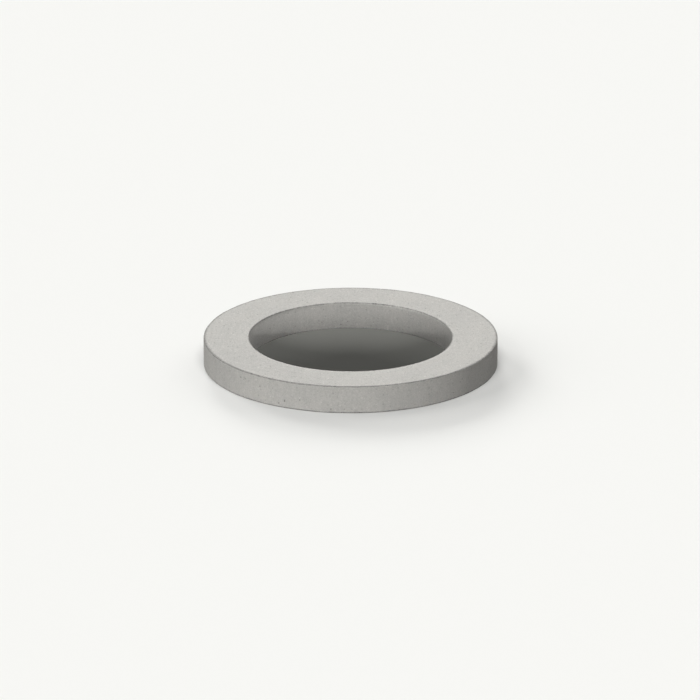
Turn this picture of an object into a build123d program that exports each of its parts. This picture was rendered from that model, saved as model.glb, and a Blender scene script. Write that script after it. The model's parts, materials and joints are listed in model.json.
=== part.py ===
from build123d import *

import os

# A support ring for the neck of a manhole, cast in concrete in one piece.
# It lies on its bed face. The origin is the centre of that face, and +Z runs
# up the axis of the bore towards the face that the cover frame sits on.

# Driving dimensions, in millimetres
outer_diameter = 840
bore_diameter = 580
height = 80
arris_radius = 2

# The ring is a plain rectangular wall carried round the bore. Its two bed
# faces are flat and parallel, and the outer wall and the bore are upright.
with BuildPart() as concrete_ring:
    with BuildSketch(Plane.XY):
        Circle(outer_diameter / 2)
        Circle(bore_diameter / 2, mode=Mode.SUBTRACT)
    extrude(amount=height)

    # The mould leaves each of the four arrises slightly rounded.
    arrises = edges().filter_by(GeomType.CIRCLE)
    fillet(arrises, radius=arris_radius)

concrete_ring.part.label = "concrete_ring"

os.makedirs("parts", exist_ok=True)
export_step(concrete_ring.part, "parts/concrete_ring.step")
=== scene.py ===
import json
from math import atan, cos, pi, radians, sin

import bmesh
import bpy
import numpy as np
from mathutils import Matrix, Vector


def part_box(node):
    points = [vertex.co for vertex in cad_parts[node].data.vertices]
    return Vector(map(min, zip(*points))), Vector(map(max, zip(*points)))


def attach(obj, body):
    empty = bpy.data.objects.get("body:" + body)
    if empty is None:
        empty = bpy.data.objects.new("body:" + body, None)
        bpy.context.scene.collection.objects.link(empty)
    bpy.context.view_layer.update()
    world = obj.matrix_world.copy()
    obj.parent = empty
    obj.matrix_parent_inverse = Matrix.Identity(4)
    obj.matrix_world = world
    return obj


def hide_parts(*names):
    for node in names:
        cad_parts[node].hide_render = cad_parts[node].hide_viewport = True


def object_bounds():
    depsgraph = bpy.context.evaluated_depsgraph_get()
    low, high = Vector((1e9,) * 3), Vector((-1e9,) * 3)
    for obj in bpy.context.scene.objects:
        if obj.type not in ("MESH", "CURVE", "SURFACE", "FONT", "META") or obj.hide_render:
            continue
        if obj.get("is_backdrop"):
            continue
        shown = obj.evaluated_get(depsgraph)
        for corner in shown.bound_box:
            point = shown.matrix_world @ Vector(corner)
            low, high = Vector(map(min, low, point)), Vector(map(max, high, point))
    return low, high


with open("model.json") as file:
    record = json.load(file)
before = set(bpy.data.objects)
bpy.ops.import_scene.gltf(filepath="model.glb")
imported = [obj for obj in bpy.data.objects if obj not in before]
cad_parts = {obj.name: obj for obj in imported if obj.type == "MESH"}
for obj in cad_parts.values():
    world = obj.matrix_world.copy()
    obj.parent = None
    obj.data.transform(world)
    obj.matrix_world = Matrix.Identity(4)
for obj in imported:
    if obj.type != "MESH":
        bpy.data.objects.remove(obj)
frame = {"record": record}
cad_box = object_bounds()

# The ring. It is one casting of dense grey concrete, vibrated into a steel
# mould and lifted out of it by hand. The mould gives it an upright outer wall
# and bore. The faces keep small air holes, and the arrises are worn and nicked.
outer_radius, _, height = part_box("concrete_ring")[1]
mounts = {mount["name"]: mount for mount in frame["record"]["mounts"]}
bore_radius = mounts["manhole_bore"]["dims"]["r_mm"] / 1000
wall_middle = (outer_radius + bore_radius) / 2
arris_radius = 0.002
arris_room = 0.007
mean_wear = 1.15
rng = np.random.default_rng(84)


def ripple(turn, along, size, turn_waves, along_waves, count):
    """A sum of cosines, size * cos(m turn + n along + phase) / sqrt(count), with whole m and n.

    The whole numbers m and n are drawn up to turn_waves and along_waves, so that it closes
    on itself both ways round.
    """
    m = rng.integers(1, turn_waves + 1, count)
    n = rng.integers(-along_waves, along_waves + 1, count)
    phase = rng.uniform(0, 2 * pi, count)
    waves = np.cos(turn[..., None] * m + along[..., None] * n + phase)
    return size * waves.sum(-1) / count**0.5


def cast_skin(turns, arc_points, run_points):
    """The points of the casting's skin, as a grid of turns about the axis by places round the wall.

    The wall's section is a rectangle. Each corner is a quarter circle, whose radius is
    arris_radius times the wear at that turn. Between two corners the points lie at shares
    t = (1 - cos(pi k / n)) / 2 of the straight run, close together near the corners. The
    skin then moves in by the ripples, so that it never leaves the mould's size.
    """
    turn = np.linspace(0, 2 * pi, turns, endpoint=False)[:, None, None]
    outward = np.array([1, 1, -1, -1])[:, None]
    upward = np.array([-1, 1, 1, -1])[:, None]
    side_r = np.array([outer_radius, outer_radius, bore_radius, bore_radius])[:, None]
    side_z = np.array([0, height, height, 0])[:, None]

    corner = np.arange(4)[:, None] * 1.0
    wear = (mean_wear + ripple(turn, corner, size=0.22, turn_waves=18, along_waves=9, count=12)
            + ripple(turn, corner, size=0.16, turn_waves=90, along_waves=9, count=24))
    arris = arris_radius * wear.clip(0.6, 1.9)
    facing = pi / 2 * (np.arange(4)[:, None] - 1 + np.linspace(0, 1, arc_points))
    arc_r = side_r - arris * outward + arris * np.cos(facing)
    arc_z = side_z - arris * upward + arris * np.sin(facing)

    share = (1 - np.cos(pi * np.arange(1, run_points + 1) / (run_points + 1))) / 2
    run_r = arc_r[:, :, -1:] + share * (np.roll(arc_r, -1, 1)[:, :, :1] - arc_r[:, :, -1:])
    run_z = arc_z[:, :, -1:] + share * (np.roll(arc_z, -1, 1)[:, :, :1] - arc_z[:, :, -1:])
    run_facing = np.repeat(facing[:, -1:], run_points, 1)

    facing = np.concatenate([facing, run_facing], 1).ravel()
    radius = np.concatenate([arc_r, run_r], 2).reshape(turns, -1)
    level = np.concatenate([arc_z, run_z], 2).reshape(turns, -1)
    turn = turn[:, :, 0]
    along = np.linspace(0, 2 * pi, facing.size, endpoint=False)[None, :]
    sunk = ripple(turn, along, size=0.00011, turn_waves=40, along_waves=6, count=20)
    sunk = sunk - sunk.max()
    radius = radius + sunk * np.cos(facing)
    level = level + sunk * np.sin(facing)
    return np.stack([radius * np.cos(turn), radius * np.sin(turn), level], -1)


def closed_grid(rows, columns):
    """The quads of a grid that meets itself in both directions."""
    row, column = np.meshgrid(np.arange(rows), np.arange(columns), indexing="ij")
    next_row, next_column = (row + 1) % rows, (column + 1) % columns
    quads = [row * columns + column, next_row * columns + column,
             next_row * columns + next_column, row * columns + next_column]
    return np.stack(quads, -1).reshape(-1, 4)


def new_object(name, points, faces):
    """A mesh object at the origin, with its place in its points."""
    mesh = bpy.data.meshes.new(name)
    mesh.from_pydata(points.reshape(-1, 3), [], faces)
    made = bpy.data.objects.new(name, mesh)
    bpy.context.scene.collection.objects.link(made)
    return made


def hollows(axes, centre, lengths, widths, depths, sides, rings, lift, rough=0.0):
    """Closed drops that cut a hollow each: their points, their triangles and their quads.

    A drop's lower half is half an ellipsoid, x = a u sin(p) cos(q), y = b u sin(p) sin(q),
    z = -d cos(p), with q the turn about its axis and p from 0 at its bottom to 90 degrees.
    The outline is uneven, u = 1 + the sum of c cos(k q + phase) for k of 2, 3 and 5, and
    rough shifts each point by chance. A cone closes the drop above. Its middle lies lift
    times its depth above its centre, so that the hollow opens outward.
    """
    count = len(centre)
    q = np.linspace(0, 2 * pi, sides, endpoint=False)[None, None, :]
    p = (pi / 2 * np.arange(1, rings + 1) / rings)[None, :, None]
    phase = rng.uniform(0, 2 * pi, (3, count, 1, 1))
    uneven = (1 + 0.12 * np.cos(2 * q + phase[0]) + 0.08 * np.cos(3 * q + phase[1])
              + 0.05 * np.cos(5 * q + phase[2]))
    uneven = uneven * (1 + rough * rng.uniform(-1, 1, (count, rings, sides)))
    x = lengths[:, None, None] * uneven * np.sin(p) * np.cos(q)
    y = widths[:, None, None] * uneven * np.sin(p) * np.sin(q)
    z = depths[:, None, None] * (lift - np.cos(p)) * np.ones_like(q)
    body = np.stack([x, y, z], -1).reshape(count, -1, 3)
    poles = np.zeros((count, 2, 3))
    poles[:, 0, 2] = (lift - 1) * depths
    poles[:, 1, 2] = (lift + 1) * depths
    points = centre[:, None, :] + np.concatenate([body, poles], 1) @ axes

    bottom = rings * sides
    first = np.arange(sides)
    following = np.roll(first, -1)
    lower = np.stack([np.full(sides, bottom), following, first], -1)
    upper = np.stack([np.full(sides, bottom + 1), first + bottom - sides, following + bottom - sides], -1)
    step = np.arange(rings - 1)[:, None] * sides
    quads = np.stack([step + first, step + following, step + sides + following, step + sides + first], -1)
    start = (np.arange(count) * (bottom + 2))[:, None, None]
    threes = (np.concatenate([lower, upper])[None] + start).reshape(-1, 3)
    fours = (quads.reshape(1, -1, 4) + start).reshape(-1, 4)
    return points.reshape(-1, 3), threes, fours


def skin_frames(turn, radius, level, facing):
    """Places on the skin, each with its three directions: round the ring, across and out of the skin.

    The direction out of the skin is (cos f cos t, cos f sin t, sin f), with t the turn and
    f the facing, which is 0 on the outer wall and pi / 2 on the top face.
    """
    radial = np.stack([np.cos(turn), np.sin(turn), 0 * turn], -1)
    round_ring = np.stack([-np.sin(turn), np.cos(turn), 0 * turn], -1)
    up = np.broadcast_to([0.0, 0.0, 1.0], radial.shape)
    out = radial * np.cos(facing) + up * np.sin(facing)
    centre = radial * np.reshape(radius, (-1, 1)) + up * np.reshape(level, (-1, 1))
    return np.stack([round_ring, np.cross(out, round_ring), out], 1), centre


def air_holes(side, cell, chance, middle_size, smallest=0.0004, coarse=0.0012, clearance=1.3):
    """The drops for the air holes of one side of the wall.

    The side is divided into cells of about this size, which keep arris_room clear of its
    arrises. A cell holds a hole with this chance, which also rises and falls round the ring.
    The hole lies anywhere in its cell that leaves clearance times its size free. Sizes are
    radii, log-normal about middle_size, and holes under the coarse size have fewer faces.
    """
    radius_from, radius_to, level_from, level_to, facing = {
        "outer": (outer_radius, outer_radius, arris_room, height - arris_room, 0),
        "top": (bore_radius + arris_room, outer_radius - arris_room, height, height, pi / 2),
        "bore": (bore_radius, bore_radius, arris_room, height - arris_room, pi),
        "bed": (bore_radius + arris_room, outer_radius - arris_room, 0, 0, -pi / 2)}[side]
    across = max(radius_to - radius_from, level_to - level_from)
    cells = np.array([2 * pi * radius_from // cell, across // cell])
    at = np.stack(np.meshgrid(*map(np.arange, cells)), -1).reshape(-1, 2)
    crowding = ripple(at[:, 0] * 2 * pi / cells[0], at[:, 1] * 1.0,
                      size=0.6, turn_waves=24, along_waves=2, count=10)
    at = at[rng.random(len(at)) < chance * (1 + crowding)]
    largest = 0.36 * cell
    size = (middle_size * np.exp(rng.normal(0, 0.5, len(at)))).clip(smallest, largest)
    room = 0.5 - clearance * size[:, None] / cell
    turn, share = ((at + 0.5 + room * rng.uniform(-1, 1, at.shape)) / cells).T
    axes, centre = skin_frames(turn * 2 * pi, radius_from + (radius_to - radius_from) * share,
                               level_from + (level_to - level_from) * share, facing)
    stretch = rng.uniform(0.85, 1.2, len(at))
    depth = size * rng.uniform(0.7, 1.1, len(at))
    for chosen, sides, rings in ((size < coarse, 8, 2), (size >= coarse, 12, 4)):
        yield hollows(axes[chosen], centre[chosen], (size / stretch)[chosen], (size * stretch)[chosen],
                      depth[chosen], sides, rings, lift=0.2)


def nicks(radius, level, facing, count, middle_size=0.00085, smallest=0.0004, largest=0.0019):
    """The drops for the nicks along one arris, which face half way between its two sides.

    They are spaced unevenly round the ring, and their sizes are log-normal about middle_size.
    The middle of a rounded arris of radius r lies r (1 - cos 45) in from each of its sides.
    """
    turn = 2 * pi * (np.arange(count) + rng.uniform(-0.35, 0.35, count)) / count
    bite = (middle_size * np.exp(rng.normal(0, 0.4, count))).clip(smallest, largest)
    rounding = mean_wear * arris_radius * (1 - cos(pi / 4))
    axes, centre = skin_frames(turn, radius - rounding * np.sign(np.cos(facing)),
                               level - rounding * np.sign(np.sin(facing)), facing)
    return hollows(axes, centre, bite * rng.uniform(1.6, 3.6, count), bite * 2, bite * 1.5,
                   sides=12, rings=4, lift=1 / 3, rough=0.10)


drops = [*air_holes("outer", cell=0.0092, chance=0.30, middle_size=0.00085),
         *air_holes("bore", cell=0.0092, chance=0.30, middle_size=0.00085),
         *air_holes("top", cell=0.0086, chance=0.12, middle_size=0.00072),
         *air_holes("bed", cell=0.0086, chance=0.15, middle_size=0.00080),
         nicks(outer_radius, height, facing=pi / 4, count=34),
         nicks(outer_radius, 0, facing=-pi / 4, count=40),
         nicks(bore_radius, height, facing=pi * 3 / 4, count=22),
         nicks(bore_radius, 0, facing=-pi * 3 / 4, count=26)]
starts = np.cumsum([0] + [len(points) for points, _, _ in drops[:-1]])
faces = [face for (_, *parts), start in zip(drops, starts)
         for part in parts for face in (part + start).tolist()]
air = new_object("air", np.concatenate([points for points, _, _ in drops]), faces)

skin = cast_skin(turns=480, arc_points=5, run_points=11)
ring = new_object("ring_casting", skin, closed_grid(*skin.shape[:2]))
cut = ring.modifiers.new("air holes and nicks", "BOOLEAN")
cut.operation = "DIFFERENCE"
cut.solver = "MANIFOLD"
cut.object = air
casting = bpy.data.meshes.new_from_object(ring.evaluated_get(bpy.context.evaluated_depsgraph_get()))
ring.modifiers.clear()
ring.data = casting
bpy.data.objects.remove(air)

# The cut leaves faces with many corners, and a few edges too short to keep.
shortest_edge = 0.000004
shape = bmesh.new()
shape.from_mesh(casting)
bmesh.ops.triangulate(shape, faces=[face for face in shape.faces if len(face.verts) > 4])
bmesh.ops.dissolve_degenerate(shape, edges=shape.edges, dist=shortest_edge)
shape.to_mesh(casting)
shape.free()
casting.shade_smooth()
casting.set_sharp_from_angle(angle=radians(50))


def section_place(radius, level, core_depth):
    """How far round the wall's section each point lies, from the outer wall's foot, and the whole way round.

    A rectangle lies core_depth inside the section. A point is as far round as the place
    nearest to it on that rectangle, plus core_depth times the angle that it faces, so
    that the corners take room as well.
    """
    near_r = radius.clip(bore_radius + core_depth, outer_radius - core_depth)
    near_z = level.clip(core_depth, height - core_depth)
    facing = np.arctan2(level - near_z, radius - near_r) % (2 * pi)
    up = near_z - core_depth
    inward = outer_radius - core_depth - near_r
    half_way = height + outer_radius - bore_radius - 4 * core_depth
    run = np.where(facing < pi, up + inward, 2 * half_way - up - inward)
    return run + core_depth * facing, 2 * half_way + 2 * pi * core_depth


def unroll(mesh, core_depth=0.004, seam_share=0.84, turn_margin=0.003, section_margin=0.006):
    """Adds a map of the skin rolled out flat, in two rows of half a turn each.

    The turn runs across a row, and the way round the section runs up it, from a seam on
    the bed face. A face that crosses the end of a row stays whole, with the half that
    its middle is in.
    """
    corner = np.empty(len(mesh.loops), np.int32)
    mesh.loops.foreach_get("vertex_index", corner)
    points = np.empty(len(mesh.vertices) * 3)
    mesh.vertices.foreach_get("co", points)
    middles = np.empty(len(mesh.polygons) * 3)
    mesh.polygons.foreach_get("center", middles)
    sizes = np.empty(len(mesh.polygons), np.int32)
    mesh.polygons.foreach_get("loop_total", sizes)

    places = []
    for x, y, z in (points.reshape(-1, 3).T, middles.reshape(-1, 3).T):
        run, whole = section_place(np.hypot(x, y), z, core_depth)
        places.append((np.arctan2(y, x) % (2 * pi), (run - seam_share * whole) % whole))
    (turn, run), (middle_turn, middle_run) = places
    turn, run = turn[corner], run[corner]
    middle_turn, middle_run = np.repeat(middle_turn, sizes), np.repeat(middle_run, sizes)
    turn = middle_turn + (turn - middle_turn + pi) % (2 * pi) - pi
    run = middle_run + (run - middle_run + whole / 2) % whole - whole / 2

    row = (middle_turn >= pi) * 1.0
    u = turn_margin + (1 - 2 * turn_margin) * (turn / pi - row)
    v = (row + section_margin + (1 - 2 * section_margin) * run / whole) / 2
    flat = np.stack([u, v], -1).astype(np.float32)
    mesh.uv_layers.new(name="OFBake").uv.foreach_set("vector", flat.ravel())


unroll(casting)


class Wire:
    """One output in a material's tree. Sums of wires add the Math nodes that they need."""

    def __init__(self, tree, socket=None):
        self.tree = tree
        self.socket = socket

    def node(self, kind, settings, sockets, output=0):
        """A new node of this kind, whose settings are made before its sockets' values and links."""
        made = self.tree.nodes.new("ShaderNode" + kind)
        for name, value in settings.items():
            setattr(made, name, value)
        for place, value in sockets.items():
            if isinstance(value, Wire):
                self.tree.links.new(value.socket, made.inputs[place])
            else:
                made.inputs[place].default_value = value
        return Wire(self.tree, made.outputs[output] if made.outputs else None)

    def math(self, operation, *values):
        return self.node("Math", {"operation": operation}, dict(enumerate(values)))

    def __add__(self, other):
        return self.math("ADD", self, other)

    def __sub__(self, other):
        return self.math("SUBTRACT", self, other)

    def __rsub__(self, other):
        return self.math("SUBTRACT", other, self)

    def __mul__(self, other):
        return self.math("MULTIPLY", self, other)

    def __truediv__(self, other):
        return self.math("DIVIDE", self, other)

    __radd__ = __add__
    __rmul__ = __mul__

    def output(self, name):
        return Wire(self.tree, self.socket.node.outputs[name])

    def ramp(self, start, end):
        """0 up to start and 1 from end on, with a smooth rise between them."""
        return self.node("MapRange", {"interpolation_type": "SMOOTHSTEP"},
                         {"Value": self, "From Min": start, "From Max": end})

    def mix(self, start, end):
        """The colour this share of the way from start to end."""
        return self.node("Mix", {"data_type": "RGBA"}, {0: self, 6: (*start, 1), 7: (*end, 1)}, 2)

    def grain(self, size, detail, spread):
        """Noise about zero on these coordinates, with grains of this size in metres."""
        noise = self.node("TexNoise", {}, {"Vector": self, "Scale": 1 / size, "Detail": detail,
                                           "Roughness": 0.55})
        return (noise - 0.5) * spread

    def specks(self, cell, radius):
        """An uneven speck of about this radius in each cell of this size, and the cell's own chance."""
        wobble = self.node("TexNoise", {}, {"Vector": self, "Scale": 0.9 / radius}, "Color")
        uneven = self.node("VectorMath", {"operation": "MULTIPLY_ADD"}, {
            0: wobble, 1: (1.6 * radius, 1.6 * radius, 1.6 * radius), 2: self})
        distance = self.node("TexVoronoi", {}, {"Vector": uneven, "Scale": 1 / cell}, "Distance")
        chance = self.node("SeparateColor", {}, {0: distance.output("Color")}, "Red")
        reach = (chance.output("Green") + 0.5) * (radius / cell)
        return 1 - distance.ramp(reach * 0.5, reach), chance


def new_material(name):
    """A material with a bare tree, and a wire of its object coordinates."""
    material = bpy.data.materials.new(name)
    material.use_nodes = True
    material.node_tree.nodes.clear()
    return material, Wire(material.node_tree).node("TexCoord", {}, {}, "Object")


# Concrete: pale sand, cement paste and a few darker and lighter grains at the
# surface. The skin is cloudy, faintly streaked where it slid up the mould's
# walls, and darker where grime gathers along the arrises. Shade is painted into
# the holes and nicks, and onto the foot of the bore's wall.
concrete_tint = (0.455, 0.448, 0.427)
warm_tint = (0.468, 0.455, 0.424)
concrete, place = new_material("cast_concrete")
x = place.node("SeparateXYZ", {}, {0: place}, "X")
y, z = x.output("Y"), x.output("Z")
radius = place.node("VectorMath", {"operation": "LENGTH"},
                    {0: place.node("CombineXYZ", {}, {0: x, 1: y})}, "Value")
from_wall = place.math("MINIMUM", outer_radius - radius, radius - bore_radius)
from_bed = place.math("MINIMUM", height - z, z)
from_arris = place.math("MAXIMUM", from_wall, from_bed)
depth = place.math("MINIMUM", from_wall, from_bed)
on_wall = (from_bed - from_wall).ramp(-0.001, 0.001)
in_bore = 1 - (radius - wall_middle).ramp(-0.01, 0.01)

clouds = place.grain(0.11, detail=3, spread=0.14)
blotches = place.grain(0.026, detail=2, spread=0.11)
mottle = place.grain(0.0080, detail=2, spread=0.22) * (1.2 - on_wall * 0.7)
sand = place.grain(0.0036, detail=3, spread=0.60) * (1 - on_wall * 0.15)
paste = place.grain(0.0010, detail=2, spread=0.26)
mould_place = place.node("CombineXYZ", {}, {0: x, 1: y, 2: z * 0.12})
streaks = mould_place.grain(0.008, detail=2, spread=0.10) * on_wall
float_place = place.node("CombineXYZ", {}, {0: radius, 1: x / radius * 0.02, 2: y / radius * 0.02})
float_marks = float_place.grain(0.005, detail=2, spread=0.10) * (1 - on_wall)
shades = clouds + blotches + mottle + sand + paste + streaks + float_marks

# Coarse grains come dark and light in some cells, and fine ones in most. The
# smooth skin that the mould leaves on the walls hides a part of them.
coarse, chance = place.specks(cell=0.0068, radius=0.0027)
dark_grains = coarse * chance.ramp(0.74, 0.96)
light_grains = coarse * (1 - chance.ramp(0.04, 0.24))
fine, chance = place.specks(cell=0.0030, radius=0.0011)
fine_grains = fine * (1 - chance.ramp(0.55, 1.0) - chance.ramp(0.0, 0.45))
grains = (light_grains * 0.19 - dark_grains * 0.26 + fine_grains * 0.20) * (1 - on_wall * 0.35)

# Grime lies along the arrises, widest on the outer rim of the top face, and
# thinly at the foot of the bore. The holes and nicks are painted dark inside,
# as painted shade.
rim = (z - height / 2).ramp(-0.01, 0.01) * (1 - in_bore)
grime_reach = 0.0029 + rim * (0.0027 - on_wall * 0.0036)
grime_edge = (from_arris + place.grain(0.014, detail=3, spread=0.006)) / grime_reach
grime = (1 - grime_edge.ramp(0.35, 1.65)) * (0.46 + place.grain(0.006, detail=2, spread=0.4))
grime = grime * (1 - in_bore * (1 - z.ramp(0.006, 0.014)) * 0.8)
# Painted shade: the bore's wall is painted darker towards its foot, as the shade deep in the bore would make
# it.
bore_foot_painted_shade = in_bore * on_wall * (1 - z.ramp(-0.02, 0.075)) * 0.27
# Painted shade: the insides of the holes and nicks are painted darker, as the shade in them would make it.
painted_hole_shade = depth.ramp(0.0006, 0.0013) * 0.28

tone = 1 + shades + grains - grime - bore_foot_painted_shade - painted_hole_shade
tint = (clouds * 5 + 0.5).mix(concrete_tint, warm_tint)
colour = place.node("VectorMath", {"operation": "SCALE"}, {0: tint, 3: tone})

# The sand and the paste are uneven by these heights in metres, and the dark
# grains lie a little lower.
relief = (place.grain(0.0034, detail=2, spread=0.00008) + place.grain(0.0010, detail=2, spread=0.00003)
          - dark_grains * 0.00003)
bumps = place.node("Bump", {}, {"Strength": 1.0, "Distance": 1.0, "Height": relief}, "Normal")
shader = place.node("BsdfPrincipled", {}, {
    "Base Color": colour, "Roughness": 0.88 + paste * 0.5, "Specular IOR Level": 0.25, "Normal": bumps})
place.node("OutputMaterial", {}, {"Surface": shader})

# The lit wall would throw a bright rim of light on the floor beside it, so it gives none back.
casting.materials.clear()
casting.materials.append(concrete)
ring.visible_diffuse = False
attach(ring, "root")
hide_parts("concrete_ring")

# The floor is plain and pale. A disc of it under the bore is a mesh of its
# own, so that the lamps can leave it in the shade of the ring. It is a little
# warmer, as light from the concrete all round would make it. Neither gives light
# back to the ring, which has lamps of its own.
floor_reach = 60.0
floor_tone = (0.885, 0.885, 0.860)
bore_floor_tone = (0.903, 0.903, 0.835)


def flat_rings(name, radii, sides, filled):
    """A flat floor: the points (r cos t, r sin t, 0) on a grid of radii r and turns t.

    Where it is filled, one face closes the first ring.
    """
    turn = np.linspace(0, 2 * pi, sides, endpoint=False)
    radii = np.array(radii)[:, None]
    points = np.stack([radii * np.cos(turn), radii * np.sin(turn), 0 * radii * turn], -1)
    rows = np.arange(len(radii) - 1)[:, None] * sides
    first = np.arange(sides)
    following = np.roll(first, -1)
    quads = np.stack([rows + first, rows + sides + first, rows + sides + following, rows + following], -1)
    faces = quads.reshape(-1, 4).tolist() + filled * [first.tolist()]
    return new_object(name, points, faces)


floor = flat_rings("floor", (wall_middle, 1.0, 4.0, floor_reach), 96, filled=False)
bore_floor = flat_rings("bore_floor", (wall_middle,), 96, filled=True)
for part, colour in ((floor, floor_tone), (bore_floor, bore_floor_tone)):
    paint, place = new_material("pale_" + part.name)
    place.node("OutputMaterial", {}, {"Surface": place.node("BsdfDiffuse", {}, {"Color": (*colour, 1)})})
    part.data.materials.append(paint)
    part.visible_diffuse = False
    part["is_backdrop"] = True

# Soft studio lamps, each set to light one thing. The ring has a low lamp to the
# left of the camera, a weak one in front, and others overhead and behind. The
# floor has one high in front and four low ones at the sides and the back, whose
# shadows melt into one soft shadow round the ring.


def lit_only(lamp, thing):
    """Lets the lamp light nothing but this object."""
    lamp.light_linking.receiver_collection = bpy.data.collections.new(lamp.name + "_lights")
    lamp.light_linking.receiver_collection.objects.link(thing)


def soft_lamp(name, azimuth, elevation, spread, strength, lit):
    """A far lamp at this azimuth and elevation, in degrees, that lights only this object.

    Azimuth 0 is the camera's side and 90 is to its right. The strength is the share of
    white that a white surface facing the lamp gives back. The lamp is found only by rays
    aimed at it, because the others that leave a surface pass through the ring.
    """
    lamp = bpy.data.lights.new(name, "SUN")
    lamp.energy = strength * pi
    lamp.angle = radians(spread)
    lamp.cycles.use_multiple_importance_sampling = False
    made = bpy.data.objects.new(name, lamp)
    made.rotation_euler = (radians(90 - elevation), 0, radians(azimuth))
    bpy.context.scene.collection.objects.link(made)
    lit_only(made, lit)


soft_lamp("side_lamp", azimuth=-36, elevation=0.5, spread=1, strength=0.505, lit=ring)
soft_lamp("front_lamp", azimuth=0, elevation=7, spread=10, strength=0.18, lit=ring)
soft_lamp("ring_overhead", azimuth=0, elevation=90, spread=132, strength=0.578, lit=ring)
soft_lamp("ring_back_lamp", azimuth=-175, elevation=35, spread=30, strength=0.78, lit=ring)
soft_lamp("floor_front_lamp", azimuth=0, elevation=66, spread=42, strength=0.519, lit=floor)
soft_lamp("floor_back_lamp", azimuth=-173, elevation=16, spread=16, strength=0.469, lit=floor)
soft_lamp("floor_back_left_lamp", azimuth=-147, elevation=19.3, spread=19, strength=0.403, lit=floor)
soft_lamp("floor_left_lamp", azimuth=-92, elevation=25.6, spread=49, strength=0.340, lit=floor)
soft_lamp("floor_right_lamp", azimuth=143, elevation=27.2, spread=48, strength=0.205, lit=floor)

# Inside the bore, three low lamps leave the near half of its floor in the shade
# of its wall, and two small shaded lamps light its wall.
soft_lamp("bore_lamp", azimuth=0, elevation=8, spread=10, strength=1.10, lit=bore_floor)
soft_lamp("left_bore_lamp", azimuth=-45, elevation=8, spread=10, strength=0.42, lit=bore_floor)
soft_lamp("right_bore_lamp", azimuth=45, elevation=8, spread=10, strength=0.42, lit=bore_floor)


def shaded_lamp(name, elevation, distance, energy):
    """A small lamp this far from the middle of the bore's mouth, which lights the bore's wall alone.

    Its cone ends at the rim of the mouth. Seen from an elevation e, the mouth is as high as
    sin(e) times its width, and the cone is flattened by that.
    """
    slope = radians(elevation)
    lamp = bpy.data.lights.new(name, "SPOT")
    lamp.energy = energy
    lamp.spot_size = 2 * atan(bore_radius / distance)
    lamp.spot_blend = 0
    lamp.shadow_soft_size = 0.01
    made = bpy.data.objects.new(name, lamp)
    made.location = (0, -distance * cos(slope), height + distance * sin(slope))
    made.rotation_euler = (pi / 2 - slope, 0, 0)
    made.scale = (1, sin(slope), 1)
    bpy.context.scene.collection.objects.link(made)
    lit_only(made, ring)


shaded_lamp("shaded_overhead", elevation=90, distance=0.35, energy=1.5)
shaded_lamp("shaded_front_lamp", elevation=9, distance=30, energy=7900)

# The room gives a little grey light, and is as pale as the floor where the camera sees it.
room_light = (0.08, 0.08, 0.08)
room_tone = (0.930, 0.930, 0.905)
world = bpy.data.worlds.new("studio")
world.use_nodes = True
world.node_tree.nodes.clear()
bpy.context.scene.world = world
seen = Wire(world.node_tree).node("LightPath", {}, {}, "Is Camera Ray")
backdrop = seen.node("Background", {}, {"Color": seen.mix(room_light, room_tone)})
seen.node("OutputWorld", {}, {"Surface": backdrop})

# The camera looks down at the ring along +Y from far off through a long lens,
# so that it sees it nearly without perspective, 2 m across the frame. It aims a
# little beside the ring's middle, as the photograph is framed.
camera_elevation = radians(19.8)
camera_distance = 30.0
aim_x, aim_z = -0.0017, height / 2 - 0.0012
frame_width = 2.0
lens = bpy.data.cameras.new("camera")
lens.sensor_width = 36
lens.lens = lens.sensor_width * camera_distance / frame_width
lens.clip_end = 2 * floor_reach
camera = bpy.data.objects.new("camera", lens)
camera.location = (aim_x, -camera_distance * cos(camera_elevation),
                   aim_z + camera_distance * sin(camera_elevation))
camera.rotation_euler = (pi / 2 - camera_elevation, 0, 0)
bpy.context.scene.collection.objects.link(camera)
bpy.context.scene.camera = camera
bpy.context.scene.view_settings.view_transform = "Standard"

boxes = {"cad": cad_box, "visual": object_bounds()}
{name: [list(corner) for corner in box] for name, box in boxes.items()}
